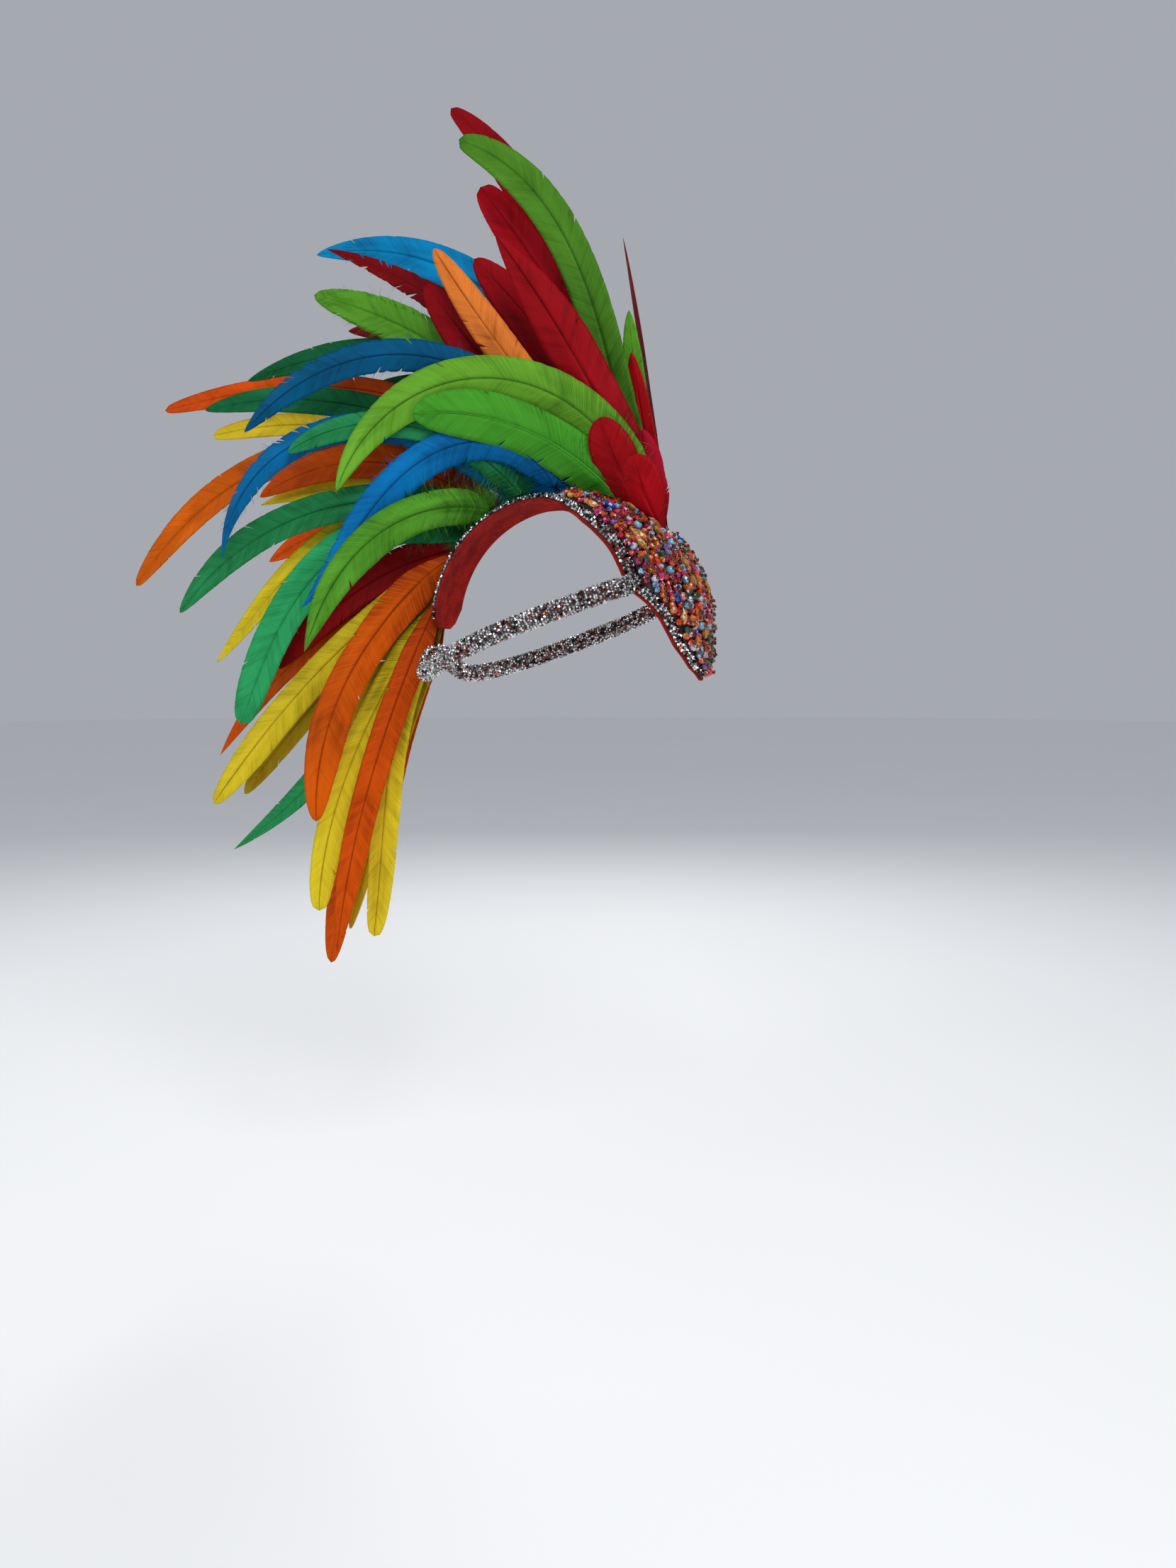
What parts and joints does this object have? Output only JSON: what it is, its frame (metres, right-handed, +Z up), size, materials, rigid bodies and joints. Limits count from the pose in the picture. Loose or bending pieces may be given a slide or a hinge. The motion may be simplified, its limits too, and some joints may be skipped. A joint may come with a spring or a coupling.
{
  "type": "carnival feather headdress",
  "caption": "Pointed red felt headdress with a crest of dyed feathers, a beaded forehead, crystal trim and a crystal rope round the back of the head.",
  "frame": {"origin": "inside crown of the base, where it sits on the top of the head", "axes": "+Z up; -Y is the way the wearer faces; -X is the wearer's right"},
  "size_m": [0.185, 0.4928, 0.6288],
  "materials": {
    "felt": "matt felt",
    "crystal": "silvered crystal chips",
    "beads": "mixed faceted glass",
    "feather_red": "dyed feather, soft sheen",
    "feather_wine": "dyed feather, soft sheen",
    "feather_orange": "dyed feather, soft sheen",
    "feather_apricot": "dyed feather, soft sheen",
    "feather_yellow": "dyed feather, soft sheen",
    "feather_olive": "dyed feather, soft sheen",
    "feather_lime": "dyed feather, soft sheen",
    "feather_green": "dyed feather, soft sheen",
    "feather_teal": "dyed feather, soft sheen",
    "feather_blue": "dyed feather, soft sheen"
  },
  "bodies": {
    "root": {"felt_base": "felt", "edge_trim_right": "crystal", "edge_trim_left": "crystal", "bead_panel": "beads", "head_rope": "crystal", "feather_01_red": "feather_red", "feather_02_red": "feather_red", "feather_03_red": "feather_red", "feather_04_red": "feather_red", "feather_05_lime": "feather_lime", "feather_06_red": "feather_red", "feather_07_lime": "feather_lime", "feather_08_red": "feather_red", "feather_09_red": "feather_red", "feather_10_wine": "feather_wine", "feather_11_apricot": "feather_apricot", "feather_12_red": "feather_red", "feather_13_blue": "feather_blue", "feather_14_wine": "feather_wine", "feather_15_lime": "feather_lime", "feather_16_wine": "feather_wine", "feather_17_green": "feather_green", "feather_18_blue": "feather_blue", "feather_19_orange": "feather_orange", "feather_20_green": "feather_green", "feather_21_yellow": "feather_yellow", "feather_22_blue": "feather_blue", "feather_23_orange": "feather_orange", "feather_24_orange": "feather_orange", "feather_25_yellow": "feather_yellow", "feather_26_teal": "feather_teal", "feather_27_lime": "feather_lime", "feather_28_lime": "feather_lime", "feather_29_blue": "feather_blue", "feather_30_lime": "feather_lime", "feather_31_teal": "feather_teal", "feather_32_yellow": "feather_yellow", "feather_33_teal": "feather_teal", "feather_34_wine": "feather_wine", "feather_35_orange": "feather_orange", "feather_36_yellow": "feather_yellow", "feather_37_olive": "feather_olive", "feather_38_orange": "feather_orange", "feather_39_olive": "feather_olive", "feather_40_teal": "feather_teal", "feather_41_yellow": "feather_yellow", "feather_42_orange": "feather_orange", "feather_43_orange": "feather_orange", "feather_44_yellow": "feather_yellow", "feather_45_yellow": "feather_yellow", "feather_46_red": "feather_red", "feather_47_lime": "feather_lime", "feather_48_blue": "feather_blue", "feather_49_orange": "feather_orange", "feather_50_lime": "feather_lime", "feather_51_yellow": "feather_yellow", "feather_52_orange": "feather_orange", "feather_53_green": "feather_green", "feather_54_blue": "feather_blue", "feather_55_red": "feather_red"}
  },
  "joints": []
}
